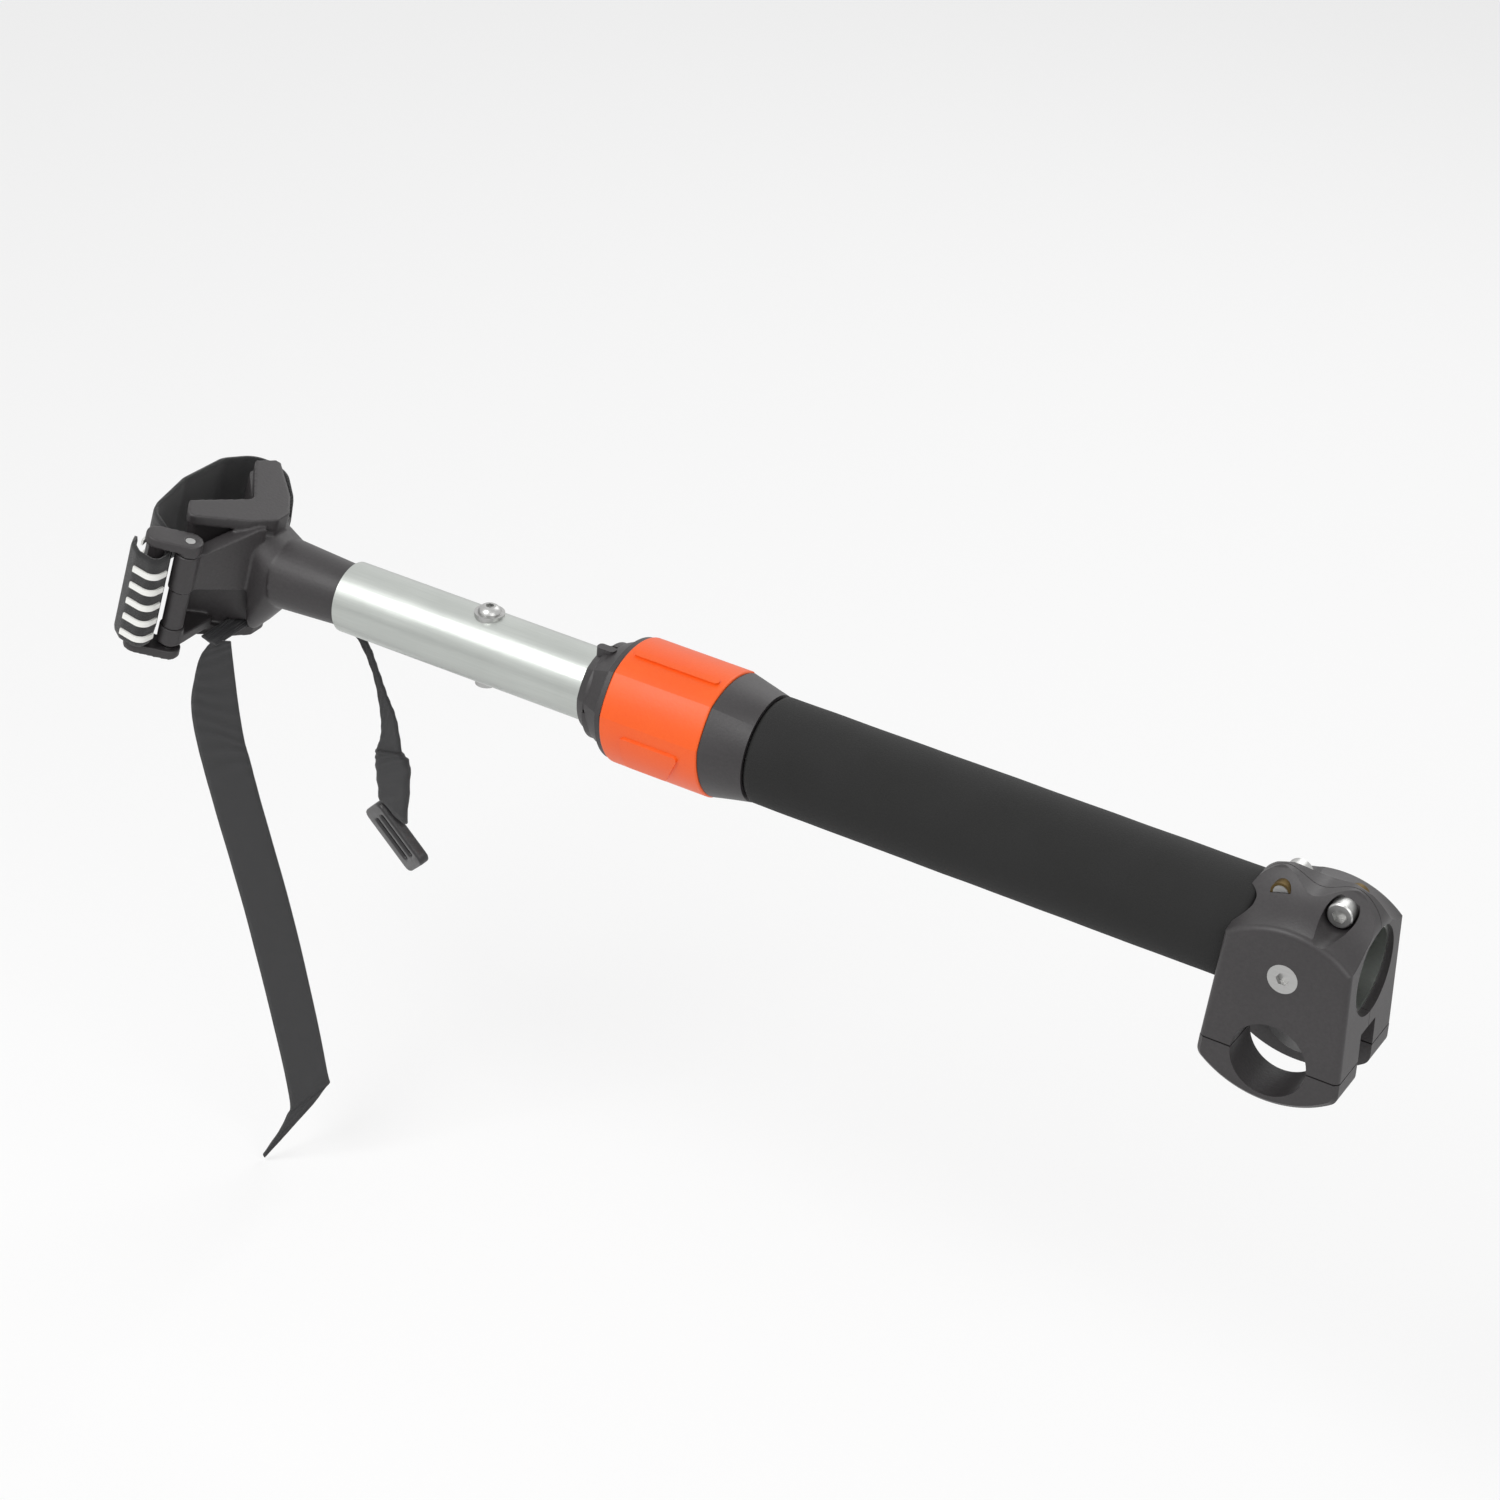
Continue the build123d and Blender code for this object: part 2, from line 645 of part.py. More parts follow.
hinge = (hinge_u, hinge_v)
wing_root = (wing_root_u, wing_root_v)
wing_length = math.dist(hinge, wing_root)
neck_root_x = inner_tube_start_x - neck_length
flare_height = flare_top_level - flare_bottom_level
flare_middle_z = pole_z + (flare_top_level + flare_bottom_level) / 2
with BuildPart() as head_body:
    for level in (bottom_plate_level, top_plate_level):
        with BuildSketch(head_plane(level)) as plate:
            with BuildLine():
                saddle_outline(0.0)
            make_face()
            fillet(plate.vertices(), 2.5)
        extrude(amount=plate_thickness)
    with BuildSketch(head_plane(bottom_plate_top - 0.5)) as web:
        with BuildLine():
            saddle_outline(web_setback)
        make_face()
        fillet(web.vertices(), 1.5)
    extrude(amount=top_plate_level - bottom_plate_top + 1.0)
    # neck: round where it enters the tube, flaring into the spine of the saddle
    with BuildSketch(pole_plane(inner_tube_start_x)):
        Circle(neck_tube_r)
    with BuildSketch(pole_plane(neck_root_x)):
        Circle(neck_r)
    loft()
    with BuildSketch(pole_plane(neck_root_x)):
        RectangleRounded(2 * neck_r - 2.0, 2 * neck_r, neck_r - 2.0)
    with BuildSketch(pole_plane(neck_root_x - flare_length)):
        with Locations((0, flare_middle_z - pole_z)):
            RectangleRounded(flare_width, flare_height, 9.0)
    loft()
    with BuildSketch(pole_plane(inner_tube_start_x)):
        Circle(inner_bore_r - seat_gap)
    extrude(amount=neck_spigot)
    # wing that carries the hinge's upper knuckle
    with BuildSketch(upright_plane(wing_root, hinge)):
        with BuildLine():
            Polyline(
                (-4.0, wing_root_bottom_level),
                (0, wing_root_bottom_level),
                (wing_length - frame_end_r - 0.5, wing_bottom_level),
                (wing_length, wing_bottom_level),
                (wing_length, wing_hinge_level),
                (wing_length - frame_end_r - 0.5, wing_hinge_level),
                (0, wing_root_level),
                (-4.0, wing_root_level),
                close=True,
            )
        make_face()
    extrude(amount=wing_thickness / 2, both=True)
    with BuildSketch(head_plane(wing_bottom_level)):
        with Locations(hinge):
            Circle(knuckle_r)
    extrude(amount=wing_hinge_level - wing_bottom_level)
    # prong and lower knuckle
    with BuildSketch(head_plane(prong_bottom_level)):
        with BuildLine():
            Polyline(
                (wing_root_u - 6.0, wing_root_v - 6.0),
                (hinge_u + knuckle_r, hinge_v),
                (hinge_u - knuckle_r, hinge_v),
                (saddle_tip_u + 5.0, -saddle_tip_v),
                close=True,
            )
        make_face()
        with Locations(hinge):
            Circle(knuckle_r)
    extrude(amount=plate_thickness)
    with BuildSketch(head_plane(prong_bottom_level)):
        with Locations(hinge):
            Circle(knuckle_r)
    extrude(amount=lower_knuckle_level - prong_bottom_level)
    with BuildSketch(head_plane(frame_bottom_level)):
        with Locations(hinge):
            Circle(hinge_pin_r + seat_gap)
    extrude(amount=frame_top - frame_bottom_level, mode=Mode.SUBTRACT)
    with BuildSketch(Plane.XY):
        with Locations((neck_screw_x, 0)):
            Circle(m5_r + 0.2)
    extrude(amount=2 * pole_z, mode=Mode.SUBTRACT)
    # boss that anchors the start of the band
    with BuildSketch(head_plane(bottom_plate_top - 0.5)):
        with BuildLine():
            Polyline((7.0, 9.0), (12.0, 9.0), (10.5, 15.2), (8.9, 14.3), close=True)
        make_face()
    extrude(amount=band_top_level - bottom_plate_top + 0.5)
    # slot through the spine for the safety strap, which lies on the lower plate
    with BuildSketch(head_plane(strap_level - webbing_thickness / 2 - soft_gap)):
        with Locations((strap_slot_u, 0)):
            Rectangle(strap_fold_width + 2 * soft_gap, 2 * saddle_half_width)
    extrude(amount=webbing_thickness + 2 * soft_gap, mode=Mode.SUBTRACT)
finish(head_body.part, "head_body")

# ==== neck screw =================================================================================
washer_z = pole_z + inner_tube_r
with BuildPart() as neck_washer:
    with BuildSketch(Plane.XY.offset(washer_z - washer_skirt)):
        with Locations((neck_screw_x, 0)):
            Circle(washer_r)
            Circle(m5_r + 0.2, mode=Mode.SUBTRACT)
    extrude(amount=washer_thickness + washer_skirt)
    with BuildSketch(pole_plane(neck_screw_x - washer_r - 1)):
        Circle(inner_tube_r + seat_gap)
    extrude(amount=2 * washer_r + 2, mode=Mode.SUBTRACT)
finish(neck_washer.part, "neck_screw_washer")

with BuildPart() as neck_screw:
    with BuildSketch(Plane.XZ):
        with BuildLine():
            Line((0, 0), (neck_screw_head_r, 0))
            Line((neck_screw_head_r, 0), (neck_screw_head_r, 0.6))
            ThreePointArc(
                (neck_screw_head_r, 0.6),
                (neck_screw_head_r - 1.0, 2.0),
                (neck_screw_head_r - 2.2, neck_screw_head_height),
            )
            Line((neck_screw_head_r - 2.2, neck_screw_head_height), (0, neck_screw_head_height))
            Line((0, neck_screw_head_height), (0, 0))
        make_face()
    revolve(axis=Axis.Z)
    with BuildSketch(Plane.XY.offset(neck_screw_head_height)):
        RegularPolygon(m5_r - 0.75, 6)
    extrude(amount=-neck_screw_head_height + 1.0, mode=Mode.SUBTRACT)
    with BuildSketch():
        Circle(m5_r)
    extrude(amount=-2 * inner_tube_r - washer_thickness - 1.5)
finish(Pos(neck_screw_x, 0, washer_z + washer_thickness) * neck_screw.part, "neck_screw")

with BuildPart() as neck_nut:
    with BuildSketch(Plane.XY.offset(pole_z - inner_tube_r - 2.0)):
        with Locations((neck_screw_x, 0)):
            Circle(neck_nut_r)
            Circle(m5_r + seat_gap, mode=Mode.SUBTRACT)
    extrude(amount=3.0)
    with BuildSketch(pole_plane(neck_screw_x - neck_nut_r - 1)):
        Circle(inner_tube_r + seat_gap)
    extrude(amount=2 * neck_nut_r + 2, mode=Mode.SUBTRACT)
finish(neck_nut.part, "neck_screw_nut")

# ==== hinged band frame ==========================================================================
bar = (bar_u, bar_v)
arm_middle = ((hinge_u + bar_u) / 2, (hinge_v + bar_v) / 2)
arm_angle = math.degrees(math.atan2(hinge_v - bar_v, hinge_u - bar_u))
with BuildPart() as band_frame:
    for level, thickness in (
        (frame_bottom_level, frame_bottom_arm),
        (frame_top_level, frame_top_arm),
    ):
        with BuildSketch(head_plane(level)):
            with Locations(arm_middle):
                SlotCenterToCenter(math.dist(hinge, bar), 2 * frame_end_r, rotation=arm_angle)
        extrude(amount=thickness)
    # boss that fills the height between the upper arm and the wing's knuckle
    with BuildSketch(head_plane(wing_hinge_level + joint_gap)):
        with Locations(hinge):
            Circle(knuckle_r)
    extrude(amount=frame_top_level - wing_hinge_level - joint_gap)
    with BuildSketch(head_plane(frame_bottom_level + 0.5)):
        with Locations(bar):
            Circle(bar_r)
    extrude(amount=frame_top - frame_bottom_level - 1.0)
    with BuildSketch(head_plane(frame_bottom_level - 1)):
        with Locations(hinge):
            Circle(hinge_pin_r + run_gap)
    extrude(amount=frame_top - frame_bottom_level + 2, mode=Mode.SUBTRACT)
finish(band_frame.part, "band_frame")

with BuildPart() as hinge_pin:
    with BuildSketch(head_plane(frame_bottom_level + 0.4)):
        with Locations(hinge):
            Circle(hinge_pin_r)
    extrude(amount=frame_top - frame_bottom_level - 0.8)
finish(hinge_pin.part, "hinge_pin")

with BuildPart() as spacer:
    with BuildSketch(head_plane(lower_knuckle_level + joint_gap)):
        with Locations(hinge):
            Circle(knuckle_r - 0.7)
            Circle(hinge_pin_r + seat_gap, mode=Mode.SUBTRACT)
    extrude(amount=wing_bottom_level - lower_knuckle_level - 2 * joint_gap)
finish(spacer.part, "hinge_spacer")

# ==== hook-and-loop band =========================================================================
# One end of the band is anchored on the far side of the saddle. The band runs round the seat post,
# passes between the bar and the hinge, folds back round the bar and ends on itself.
loop_points = [
    (9.6, 15.0),
    (2.0, 27.0),
    (-10.0, 39.3),
    (-24.5, 39.8),
    (-33.0, 25.0),
    (-34.3, 0.0),
    (-29.5, -27.0),
    (-12.5, -35.7),
]
fold_points = [
    (-11.9, -36.2),
    (-7.2, -45.5),
    (-7.8, -52.0),
    (-16.5, -52.2),
    (-21.5, -49.0),
    (-23.5, -45.0),
]
rib_lift = (band_thickness + rib_height) / 2


def standing_plane(level, start, following):
    """Plane across a path in the plane at the given level, where the path starts."""
    local = Plane(
        origin=(start[0], start[1], 0),
        x_dir=(0, 0, 1),
        z_dir=(following[0] - start[0], following[1] - start[1], 0),
    )
    return Plane(head_plane(level).location * local.location)


def band_sweep(points, bottom_level, height, side_shift, thickness, corner_r):
    """Strip that stands along the post and follows the points."""
    middle = bottom_level + height / 2
    with BuildPart() as strip:
        with BuildLine(head_plane(middle)) as path:
            FilletPolyline(*points, radius=corner_r)
        with BuildSketch(standing_plane(middle, points[0], points[1])):
            with Locations((0, side_shift)):
                Rectangle(height, thickness)
        sweep(path=path.wires()[0])
    return strip.part


def rib_set(label, points, count, top_level, side, corner_r):
    """The silicone ribs of one stretch of the band, as one piece of separate ribs."""
    ribs = [
        band_sweep(
            points,
            top_level - index * rib_pitch - rib_width / 2,
            rib_width,
            side * (rib_lift + 0.01),
            rib_height - 0.02,
            corner_r,
        )
        for index in range(count)
    ]
    finish(Compound(children=ribs), label)


finish(
    band_sweep(loop_points, band_bottom_level, band_height, 0, band_thickness, 12.0),
    "band_loop",
)
finish(
    band_sweep(
        fold_points,
        fold_bottom_level,
        fold_top_level - fold_bottom_level,
        0,
        band_thickness,
        3.2,
    ),
    "band_fold",
)
rib_set("band_loop_ribs", loop_points[2:7], rib_count - 2, top_rib_level - rib_pitch, 1, 12.0)
rib_set("band_fold_ribs", fold_points[1:4], rib_count, top_rib_level, -1, 3.2)

# ==== safety strap ===============================================================================
# One length of webbing passes folded through the head. The long end hangs in front of it, and
# the short end hangs behind the pole with the ladder-lock buckle sewn in.
strap_sin = math.sin(math.radians(strap_turn))
strap_cos = math.cos(math.radians(strap_turn))
long_plane = Plane(
    origin=(strap_x, strap_y, 0), x_dir=(strap_cos, strap_sin, 0), z_dir=(strap_sin, -strap_cos, 0)
)
long_left = [
    (-2.0, 9.6), (-6.6, 2.0), (-9.0, -9.0), (-10.2, -21.0), (-8.0, -38.0), (-1.2, -67.6),
    (14.9, -132.6), (32.6, -217.0), (32.0, -235.0), (22.4, -255.0),
]
long_right = [
    (6.0, 9.6), (6.9, 0.8), (9.4, -21.0), (12.0, -38.0), (19.1, -67.6),
    (35.1, -132.6), (49.5, -205.5), (48.5, -219.7), (42.6, -236.3), (23.4, -256.4),
]
short_plane = Plane(origin=(saddle_x, short_strap_y, 0), x_dir=(1, 0, 0), z_dir=(0, -1, 0))
short_left = [
    (4.1, 9.0), (21.1, 12.0), (35.1, 8.5), (44.7, 2.1), (52.7, -11.5),
    (56.8, -27.6), (57.7, -39.6), (55.5, -48.3),
]
short_right = [
    (4.1, 13.5), (21.1, 16.5), (37.1, 12.5), (49.2, 2.3), (54.6, -7.9),
    (60.1, -19.6), (65.1, -29.5), (68.7, -45.4),
]
sewn_outline = [
    (55.5, -47.8), (55.7, -55.2), (57.9, -70.5), (72.3, -79.2), (72.9, -51.3),
    (68.7, -45.0),
]
with BuildPart() as safety_strap:
    with BuildSketch(long_plane):
        with BuildLine():
            Spline(*long_left)
            Line(long_left[-1], long_right[-1])
            Spline(*reversed(long_right))
            Line(long_right[0], long_left[0])
        make_face()
    extrude(amount=webbing_thickness / 2, both=True)
    with BuildSketch(short_plane):
        with BuildLine():
            Spline(*short_left)
            Line(short_left[-1], short_right[-1])
            Spline(*reversed(short_right))
            Line(short_right[0], short_left[0])
        make_face()
    extrude(amount=webbing_thickness / 2, both=True)
    with BuildSketch(short_plane):
        with BuildLine():
            Polyline(*sewn_outline, close=True)
        make_face()
    extrude(amount=webbing_thickness, both=True)
    # the folded stretch that lies on the lower plate and passes through the spine
    with BuildSketch(head_plane(strap_level - webbing_thickness / 2)):
        with Locations((strap_slot_u, (strap_front_v + short_strap_y) / 2)):
            Rectangle(strap_fold_width, short_strap_y - strap_front_v)
    extrude(amount=webbing_thickness)
finish(safety_strap.part, "safety_strap")

across = (math.cos(math.radians(buckle_roll)), 0, -math.sin(math.radians(buckle_roll)))
swing_cos = math.cos(math.radians(buckle_swing))
swing_sin = math.sin(math.radians(buckle_swing))
along = (across[2] * swing_sin, swing_cos, -across[0] * swing_sin)
buckle_normal = Vector(across).cross(Vector(along))
buckle_plane = Plane(
    origin=(buckle_x, short_strap_y, buckle_z), x_dir=across, z_dir=buckle_normal
)
with BuildPart() as buckle:
    with BuildSketch(buckle_plane):
        with Locations((buckle_shift, buckle_length / 2)):
            RectangleRounded(buckle_width, buckle_length, 4.0)
        for slot_middle in (buckle_bar + buckle_slot / 2, 2 * buckle_bar + 1.5 * buckle_slot):
            with Locations((buckle_shift, slot_middle)):
                RectangleRounded(webbing_width + 1.5, buckle_slot, 1.2, mode=Mode.SUBTRACT)
    extrude(amount=buckle_thickness / 2, both=True)
    chamfer(buckle.faces().filter_by(buckle_plane).edges().filter_by(GeomType.LINE), 0.6)
finish(buckle.part, "ladder_lock_buckle")

print("built", len(os.listdir("parts")), "pieces")
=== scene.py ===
import json
import logging
import math
from dataclasses import dataclass
from enum import Enum

import bmesh
import bpy
from mathutils import Matrix, Quaternion, Vector, noise


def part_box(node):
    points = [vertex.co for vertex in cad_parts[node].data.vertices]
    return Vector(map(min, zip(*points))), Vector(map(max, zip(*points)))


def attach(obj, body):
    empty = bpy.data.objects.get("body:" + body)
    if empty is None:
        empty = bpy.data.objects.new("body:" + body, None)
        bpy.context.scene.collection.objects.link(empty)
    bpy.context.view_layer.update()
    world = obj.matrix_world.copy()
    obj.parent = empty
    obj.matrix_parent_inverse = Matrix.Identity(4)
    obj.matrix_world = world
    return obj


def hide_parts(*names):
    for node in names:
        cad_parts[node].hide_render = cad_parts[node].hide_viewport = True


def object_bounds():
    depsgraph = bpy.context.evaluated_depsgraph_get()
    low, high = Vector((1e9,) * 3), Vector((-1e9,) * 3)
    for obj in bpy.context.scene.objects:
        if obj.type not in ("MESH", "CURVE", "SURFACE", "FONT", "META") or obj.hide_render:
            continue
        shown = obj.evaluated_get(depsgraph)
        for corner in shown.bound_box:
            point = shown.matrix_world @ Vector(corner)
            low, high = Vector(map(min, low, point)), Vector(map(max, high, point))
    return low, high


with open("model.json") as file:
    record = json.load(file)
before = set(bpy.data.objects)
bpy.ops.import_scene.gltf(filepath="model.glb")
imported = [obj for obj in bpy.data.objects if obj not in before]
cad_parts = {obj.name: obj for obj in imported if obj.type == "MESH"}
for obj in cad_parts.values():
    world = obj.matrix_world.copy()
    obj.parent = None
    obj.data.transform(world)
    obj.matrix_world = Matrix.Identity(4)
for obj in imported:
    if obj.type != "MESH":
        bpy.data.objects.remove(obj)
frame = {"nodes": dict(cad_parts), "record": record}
cad_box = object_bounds()

log = logging.getLogger("drawbar")
MM = 0.001


# ---- camera, light and floor --------------------------------------------------------------------
@dataclass
class Studio:
    """Camera, lamps and the pale floor."""

    camera_place: tuple[float, float, float] = (0.3514, -1.1393, 0.8039)
    view_turn: tuple[float, float, float] = (2.03608751, 0.59395577, -0.22944716)
    lens_mm: float = 92.15
    floor_size: float = 6.0
    floor_white_share: float = 0.6
    fill_strength: float = 0.45
    floor_gap: float = 2.0 * MM

    def add_camera(self) -> None:
        """Create the camera at its place and make it the scene's camera."""
        data = bpy.data.cameras.new("camera")
        data.lens = self.lens_mm
        data.clip_end = 50.0
        camera = bpy.data.objects.new("camera", data)
        bpy.context.scene.collection.objects.link(camera)
        turn = Vector(self.view_turn)
        to_camera = Quaternion(turn.normalized(), turn.length).to_matrix()
        axes = to_camera.transposed() @ Matrix(((1, 0, 0), (0, -1, 0), (0, 0, -1)))
        camera.matrix_world = Matrix.Translation(self.camera_place) @ axes.to_4x4()
        bpy.context.scene.camera = camera

    def add_lamp(self, name: str, place: tuple, power: float, size: float) -> None:
        """Add one area lamp that looks at the middle of the pole.

        Args:
            name: The lamp's name.
            place: Where it stands, in metres.
            power: Its power in watts.
            size: The side of its square face in metres.
        """
        data = bpy.data.lights.new(name, "AREA")
        data.energy = power
        data.size = size
        lamp = bpy.data.objects.new(name, data)
        bpy.context.scene.collection.objects.link(lamp)
        lamp.location = place
        aim = Vector((-0.2, 0, 0.03)) - Vector(place)
        lamp.rotation_euler = aim.to_track_quat("-Z", "Y").to_euler()

    def add_world(self) -> None:
        """White background for camera, glossy and transmission rays, plain light otherwise."""
        world = bpy.data.worlds.new("world")
        bpy.context.scene.world = world
        world.use_nodes = True
        nodes, links = world.node_tree.nodes, world.node_tree.links
        nodes.clear()
        path = nodes.new("ShaderNodeLightPath")
        seen_or_glossy = nodes.new("ShaderNodeMath")
        seen_or_glossy.operation = "MAXIMUM"
        any_white = nodes.new("ShaderNodeMath")
        any_white.operation = "MAXIMUM"
        fill = nodes.new("ShaderNodeBackground")
        fill.inputs["Strength"].default_value = self.fill_strength
        white = nodes.new("ShaderNodeBackground")
        white.inputs["Color"].default_value = (1, 1, 1, 1)
        mix = nodes.new("ShaderNodeMixShader")
        out = nodes.new("ShaderNodeOutputWorld")
        fill.inputs["Color"].default_value = (1, 1, 1, 1)
        links.new(path.outputs["Is Camera Ray"], seen_or_glossy.inputs[0])
        links.new(path.outputs["Is Glossy Ray"], seen_or_glossy.inputs[1])
        links.new(seen_or_glossy.outputs[0], any_white.inputs[0])
        links.new(path.outputs["Is Transmission Ray"], any_white.inputs[1])
        links.new(any_white.outputs[0], mix.inputs["Fac"])
        links.new(fill.outputs[0], mix.inputs[1])
        links.new(white.outputs[0], mix.inputs[2])
        links.new(mix.outputs[0], out.inputs["Surface"])

    def add_floor(self) -> None:
        """Plain pale floor under the lowest point of the object."""
        low = cad_box[0][2] - self.floor_gap
        mesh = bpy.data.meshes.new("floor")
        half = self.floor_size / 2
        corners = [(-half, -half, low), (half, -half, low), (half, half, low), (-half, half, low)]
        mesh.from_pydata(corners, [], [(0, 1, 2, 3)])
        floor = bpy.data.objects.new("floor", mesh)
        bpy.context.scene.collection.objects.link(floor)
        material = bpy.data.materials.new("pale_floor")
        material.use_nodes = True
        shader = material.node_tree.nodes["Principled BSDF"]
        shader.inputs["Base Color"].default_value = (0.94, 0.94, 0.94, 1)
        shader.inputs["Roughness"].default_value = 0.9
        nodes, links = material.node_tree.nodes, material.node_tree.links
        path = nodes.new("ShaderNodeLightPath")
        share = nodes.new("ShaderNodeMath")
        share.operation = "MULTIPLY"
        share.inputs[1].default_value = self.floor_white_share
        white = nodes.new("ShaderNodeEmission")
        mix = nodes.new("ShaderNodeMixShader")
        links.new(path.outputs["Is Camera Ray"], share.inputs[0])
        links.new(share.outputs[0], mix.inputs["Fac"])
        links.new(shader.outputs[0], mix.inputs[1])
        links.new(white.outputs[0], mix.inputs[2])
        links.new(mix.outputs[0], nodes["Material Output"].inputs["Surface"])
        mesh.materials.append(material)

    def build(self) -> None:
        """Camera first, then the light and the floor."""
        self.add_camera()
        self.add_lamp("key", (-0.7, -1.0, 1.3), 15.0, 0.9)
        self.add_lamp("fill", (0.9, -0.7, 0.8), 6.0, 1.0)
        self.add_lamp("back", (-0.2, 1.2, 1.0), 6.0, 1.0)
        self.add_world()
        self.add_floor()
        bpy.context.scene.view_settings.view_transform = "Standard"


# ---- shared effects -----------------------------------------------------------------------------
def new_group(name: str, inputs: dict, outputs: dict) -> bpy.types.NodeTree:
    """Empty shader group with the named sockets.

    Args:
        name: The group's name.
        inputs: Socket types by input name, each with its default value.
        outputs: Socket types by output name.

    Returns:
        The group, with its input and output nodes inside.
    """
    group = bpy.data.node_groups.new(name, "ShaderNodeTree")
    for label, (kind, value) in inputs.items():
        socket = group.interface.new_socket(label, in_out="INPUT", socket_type=kind)
        socket.default_value = value
    for label, kind in outputs.items():
        group.interface.new_socket(label, in_out="OUTPUT", socket_type=kind)
    group.nodes.new("NodeGroupInput")
    group.nodes.new("NodeGroupOutput")
    return group


class Texture(Enum):
    """The surface effects that finishes choose from."""

    GRAIN = "surface_grain"
    BRUSHED = "brushed_streaks"
    WEAVE = "woven_yarns"


CLOUD_SCALE = 35.0  # slow change of tone and gloss over the surface
CLOUD_DETAIL = 6.0
GRAIN_DETAIL = 4.0
GLOSS_SPREAD = 0.16
YARN_DISTORTION = 0.6
STREAK_STRETCH = (0.03, 1.0, 1.0)


def texture_group(kind: Texture) -> bpy.types.NodeTree:
    """The shader group of one effect, built once.

    Args:
        kind: Which effect.

    Returns:
        A group that puts out Color, Roughness and Height.
    """
    known = bpy.data.node_groups.get(kind.value)
    if known:
        return known
    real, tint = "NodeSocketFloat", "NodeSocketColor"
    group = new_group(
        kind.value,
        {
            "Main": (tint, (0.1, 0.1, 0.1, 1)),
            "Worn": (tint, (0.2, 0.2, 0.2, 1)),
            "Scale": (real, 1000.0),
            "Rough": (real, 0.5),
        },
        {"Color": tint, "Roughness": real, "Height": real},
    )
    nodes, links = group.nodes, group.links
    source, sink = nodes["Group Input"], nodes["Group Output"]
    place = nodes.new("ShaderNodeTexCoord")
    stretch = nodes.new("ShaderNodeMapping")
    links.new(place.outputs["Object"], stretch.inputs["Vector"])
    if kind is Texture.BRUSHED:
        stretch.inputs["Scale"].default_value = STREAK_STRETCH
    cloud = nodes.new("ShaderNodeTexNoise")
    cloud.inputs["Scale"].default_value = CLOUD_SCALE
    cloud.inputs["Detail"].default_value = CLOUD_DETAIL
    links.new(place.outputs["Object"], cloud.inputs["Vector"])
    if kind is Texture.WEAVE:
        first = nodes.new("ShaderNodeTexWave")
        second = nodes.new("ShaderNodeTexWave")
        second.bands_direction = "Z"
        first.bands_direction = "DIAGONAL"
        height = nodes.new("ShaderNodeMath")
        height.operation = "MULTIPLY"
        for wave in (first, second):
            wave.inputs["Distortion"].default_value = YARN_DISTORTION
            links.new(stretch.outputs[0], wave.inputs["Vector"])
            links.new(source.outputs["Scale"], wave.inputs["Scale"])
        links.new(first.outputs["Fac"], height.inputs[0])
        links.new(second.outputs["Fac"], height.inputs[1])
    else:
        height = nodes.new("ShaderNodeTexNoise")
        height.inputs["Detail"].default_value = GRAIN_DETAIL
        links.new(stretch.outputs[0], height.inputs["Vector"])
        links.new(source.outputs["Scale"], height.inputs["Scale"])
    blend = nodes.new("ShaderNodeMix")
    blend.data_type = "RGBA"
    amount = nodes.new("ShaderNodeMath")
    amount.operation = "MULTIPLY"
    links.new(cloud.outputs["Fac"], amount.inputs[0])
    links.new(height.outputs[0], amount.inputs[1])
    links.new(amount.outputs[0], blend.inputs["Factor"])
    links.new(source.outputs["Main"], blend.inputs["A"])
    links.new(source.outputs["Worn"], blend.inputs["B"])
    rough = nodes.new("ShaderNodeMath")
    rough.operation = "MULTIPLY_ADD"
    rough.inputs[1].default_value = GLOSS_SPREAD
    links.new(cloud.outputs["Fac"], rough.inputs[0])
    links.new(source.outputs["Rough"], rough.inputs[2])
    links.new(blend.outputs["Result"], sink.inputs["Color"])
    links.new(rough.outputs[0], sink.inputs["Roughness"])
    links.new(height.outputs[0], sink.inputs["Height"])
    return group


# ---- finishes -----------------------------------------------------------------------------------
DISPLAY_GAMMA = 2.2
BUMP_DISTANCE = 0.4 * MM


def linear(red: int, green: int, blue: int) -> tuple[float, float, float, float]:
    """Linear colour of an 8-bit display colour."""
    return (*[(channel / 255) ** DISPLAY_GAMMA for channel in (red, green, blue)], 1.0)


@dataclass(frozen=True)
class Finish:
    """One surface finish: two colours, an effect with its scale, and the gloss."""

    name: str
    main: tuple
    worn: tuple
    texture: Texture = Texture.GRAIN
    scale: float = 900.0
    rough: float = 0.4
    depth: float = 0.15
    metallic: float = 0.0
    sheen: float = 0.0

    def material(self) -> bpy.types.Material:
        """The finish's material, made on its first use."""
        known = bpy.data.materials.get("look_" + self.name)
        if known:
            return known
        material = bpy.data.materials.new("look_" + self.name)
        material.use_nodes = True
        nodes, links = material.node_tree.nodes, material.node_tree.links
        shader = nodes["Principled BSDF"]
        effect = nodes.new("ShaderNodeGroup")
        effect.node_tree = texture_group(self.texture)
        effect.inputs["Main"].default_value = self.main
        effect.inputs["Worn"].default_value = self.worn
        effect.inputs["Scale"].default_value = self.scale
        effect.inputs["Rough"].default_value = self.rough
        bump = nodes.new("ShaderNodeBump")
        bump.inputs["Strength"].default_value = self.depth
        bump.inputs["Distance"].default_value = BUMP_DISTANCE
        links.new(effect.outputs["Color"], shader.inputs["Base Color"])
        links.new(effect.outputs["Roughness"], shader.inputs["Roughness"])
        links.new(effect.outputs["Height"], bump.inputs["Height"])
        links.new(bump.outputs["Normal"], shader.inputs["Normal"])
        shader.inputs["Metallic"].default_value = self.metallic
        shader.inputs["Sheen Weight"].default_value = self.sheen
        return material


